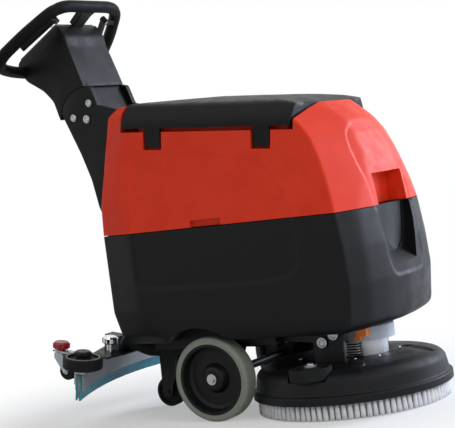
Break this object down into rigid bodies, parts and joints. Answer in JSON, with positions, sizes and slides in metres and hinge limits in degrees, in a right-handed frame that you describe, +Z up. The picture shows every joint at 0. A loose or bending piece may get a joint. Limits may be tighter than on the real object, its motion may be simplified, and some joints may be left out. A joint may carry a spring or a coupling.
{
  "type": "walk-behind floor scrubber",
  "caption": "Walk-behind floor scrubber: stacked water tanks on wheels, a round disc-brush deck in front, a rear squeegee with suction hose and a tilting steering handle.",
  "frame": {"origin": "on the floor, in the middle of the machine's length and width", "axes": "+X forward (the way it scrubs), +Y to the operator's left, +Z up"},
  "size_m": [1.051, 0.711, 1.0553],
  "materials": {
    "black_plastic": "matte",
    "red_plastic": "satin",
    "grey_plastic": "matte",
    "blue_cap": "satin",
    "battery_case": "matte",
    "steel": "satin",
    "frame_paint": "matte",
    "rim_plastic": "matte",
    "grey_tyre": "matte",
    "dark_rubber": "matte",
    "cast_grey": "satin",
    "motor_paint": "matte",
    "orange_plastic": "satin",
    "brush_plate": "matte",
    "white_bristle": "matte",
    "teal_rubber": "matte",
    "chrome": "satin",
    "zinc": "satin",
    "dark_red": "satin",
    "stop_red": "satin"
  },
  "bodies": {
    "chassis": {"chassis_frame": "frame_paint", "solution_tank": "black_plastic", "solution_cover": "grey_plastic", "battery_left": "battery_case", "battery_right": "battery_case", "controller": "grey_plastic", "axle": "steel", "hub_bolts": "steel", "caster_plate": "steel", "suction_duct": "grey_plastic", "suction_hose": "dark_rubber"},
    "filler": {"fill_cap": "blue_cap"},
    "wheel_left": {"rim_left": "rim_plastic", "tyre_left": "grey_tyre"},
    "wheel_right": {"rim_right": "rim_plastic", "tyre_right": "grey_tyre"},
    "caster": {"caster_fork": "frame_paint"},
    "caster_tread": {"caster_wheel": "dark_rubber"},
    "upper_tank": {"recovery_tank": "red_plastic", "vacuum_motor": "motor_paint", "float_filter": "grey_plastic", "column_bracket": "black_plastic", "column_screws": "steel", "lid_seal": "dark_rubber"},
    "lid": {"lid": "black_plastic"},
    "handle": {"column": "black_plastic", "handle_loop": "black_plastic", "control_panel": "grey_plastic"},
    "trigger_left": {"trigger_left": "black_plastic"},
    "trigger_right": {"trigger_right": "black_plastic"},
    "stop_button": {"stop_button": "stop_red"},
    "key": {"key": "steel"},
    "deck": {"lift_arms": "frame_paint", "deck_shroud": "black_plastic", "gear_housing": "cast_grey", "brush_motor": "motor_paint", "deck_brackets": "frame_paint", "feed_clip": "orange_plastic", "bumper_screw": "rim_plastic"},
    "brush": {"brush_block": "brush_plate", "bristles": "white_bristle"},
    "bumper": {"bumper_roller": "dark_rubber"},
    "squeegee": {"squeegee_arms": "frame_paint", "squeegee_cover": "frame_paint", "squeegee_body": "cast_grey", "front_blade": "teal_rubber", "rear_blade": "teal_rubber", "end_knobs": "rim_plastic", "wheel_brackets": "zinc", "suction_socket": "rim_plastic"},
    "end_roller_left": {"end_roller_left": "dark_rubber"},
    "chrome_knob_left": {"chrome_knob_left": "chrome"},
    "red_knob_left": {"red_knob_left": "dark_red"},
    "small_fork_left": {"small_fork_left": "zinc"},
    "small_wheel_left": {"small_wheel_left": "dark_rubber"},
    "end_roller_right": {"end_roller_right": "dark_rubber"},
    "chrome_knob_right": {"chrome_knob_right": "chrome"},
    "red_knob_right": {"red_knob_right": "dark_red"},
    "small_fork_right": {"small_fork_right": "zinc"},
    "small_wheel_right": {"small_wheel_right": "dark_rubber"}
  },
  "joints": [
    {"name": "wheel_left_spin", "type": "hinge", "parent": "chassis", "child": "wheel_left", "pos_m": [0.028, 0.1855, 0.1], "axis": [0, 1, 0], "continuous": true},
    {"name": "wheel_right_spin", "type": "hinge", "parent": "chassis", "child": "wheel_right", "pos_m": [0.028, -0.1855, 0.1], "axis": [0, 1, 0], "continuous": true},
    {"name": "caster_swivel", "type": "hinge", "parent": "chassis", "child": "caster", "pos_m": [-0.208, 0, 0.14], "axis": [0, 0, 1], "continuous": true},
    {"name": "caster_spin", "type": "hinge", "parent": "caster", "child": "caster_tread", "pos_m": [-0.233, 0, 0.038], "axis": [0, 1, 0], "continuous": true},
    {"name": "fill_cap_turn", "type": "hinge", "parent": "chassis", "child": "filler", "pos_m": [0.275, 0.11, 0.45], "axis": [0, 0, 1], "continuous": true},
    {"name": "tank_tilt", "type": "hinge", "parent": "chassis", "child": "upper_tank", "pos_m": [-0.246, 0, 0.459], "axis": [0, 1, 0], "range_deg": [-50, 0]},
    {"name": "lid_open", "type": "hinge", "parent": "upper_tank", "child": "lid", "pos_m": [-0.14825, 0.184, 0.69907], "axis": [-0.9945, 0, 0.1045], "range_deg": [0, 95]},
    {"name": "handle_tilt", "type": "hinge", "parent": "upper_tank", "child": "handle", "pos_m": [-0.32, 0, 0.752], "axis": [0, 1, 0], "range_deg": [-20, 10]},
    {"name": "trigger_left_squeeze", "type": "hinge", "parent": "handle", "child": "trigger_left", "pos_m": [-0.36434, 0.104, 1.01249], "axis": [0.6252, 0, -0.7804], "range_deg": [0, 8], "stiffness_Nm_per_rad": 0.6, "springref_deg": -11.46},
    {"name": "trigger_right_squeeze", "type": "hinge", "parent": "handle", "child": "trigger_right", "pos_m": [-0.36434, -0.104, 1.01249], "axis": [-0.6252, 0, 0.7804], "range_deg": [0, 8], "stiffness_Nm_per_rad": 0.6, "springref_deg": -11.46},
    {"name": "stop_button_press", "type": "slide", "parent": "handle", "child": "stop_button", "axis": [0.4793, 0, -0.8777], "range_m": [0, 0.004], "stiffness_N_per_m": 400, "springref_m": -0.003},
    {"name": "key_turn", "type": "hinge", "parent": "handle", "child": "key", "pos_m": [-0.41211, -0.042, 0.98283], "axis": [-0.4793, 0, 0.8777], "range_deg": [0, 90]},
    {"name": "deck_lift", "type": "hinge", "parent": "chassis", "child": "deck", "pos_m": [0.072, 0, 0.172], "axis": [0, 1, 0], "range_deg": [-5.5, 0]},
    {"name": "brush_spin", "type": "hinge", "parent": "deck", "child": "brush", "pos_m": [0.289, 0, 0.1], "axis": [0, 0, 1], "continuous": true},
    {"name": "bumper_spin", "type": "hinge", "parent": "deck", "child": "bumper", "pos_m": [0.289, -0.1924, 0.102], "axis": [0, 0, 1], "continuous": true},
    {"name": "squeegee_lift", "type": "hinge", "parent": "chassis", "child": "squeegee", "pos_m": [0.15, 0, 0.158], "axis": [0, 1, 0], "range_deg": [-11.5, 0], "deforming": ["suction_hose"]},
    {"name": "end_roller_left_spin", "type": "hinge", "parent": "squeegee", "child": "end_roller_left", "pos_m": [-0.26128, 0.3075, 0.17228], "axis": [0.1994, 0, 0.9799], "continuous": true},
    {"name": "chrome_knob_left_turn", "type": "hinge", "parent": "squeegee", "child": "chrome_knob_left", "pos_m": [-0.29748, 0.15, 0.17557], "axis": [0.1994, 0, 0.9799], "continuous": true},
    {"name": "red_knob_left_turn", "type": "hinge", "parent": "squeegee", "child": "red_knob_left", "pos_m": [-0.35603, 0.264, 0.20381], "axis": [0.1994, 0, 0.9799], "continuous": true},
    {"name": "small_fork_left_swivel", "type": "hinge", "parent": "squeegee", "child": "small_fork_left", "pos_m": [-0.35962, 0.264, 0.18617], "axis": [0.1994, 0, 0.9799], "continuous": true},
    {"name": "small_wheel_left_spin", "type": "hinge", "parent": "small_fork_left", "child": "small_wheel_left", "pos_m": [-0.34327, 0.264, 0.1461], "axis": [0, 1, 0], "continuous": true},
    {"name": "end_roller_right_spin", "type": "hinge", "parent": "squeegee", "child": "end_roller_right", "pos_m": [-0.26128, -0.3075, 0.17228], "axis": [0.1994, 0, 0.9799], "continuous": true},
    {"name": "chrome_knob_right_turn", "type": "hinge", "parent": "squeegee", "child": "chrome_knob_right", "pos_m": [-0.29748, -0.15, 0.17557], "axis": [0.1994, 0, 0.9799], "continuous": true},
    {"name": "red_knob_right_turn", "type": "hinge", "parent": "squeegee", "child": "red_knob_right", "pos_m": [-0.35603, -0.264, 0.20381], "axis": [0.1994, 0, 0.9799], "continuous": true},
    {"name": "small_fork_right_swivel", "type": "hinge", "parent": "squeegee", "child": "small_fork_right", "pos_m": [-0.35962, -0.264, 0.18617], "axis": [0.1994, 0, 0.9799], "continuous": true},
    {"name": "small_wheel_right_spin", "type": "hinge", "parent": "small_fork_right", "child": "small_wheel_right", "pos_m": [-0.34327, -0.264, 0.1461], "axis": [0, 1, 0], "continuous": true}
  ]
}
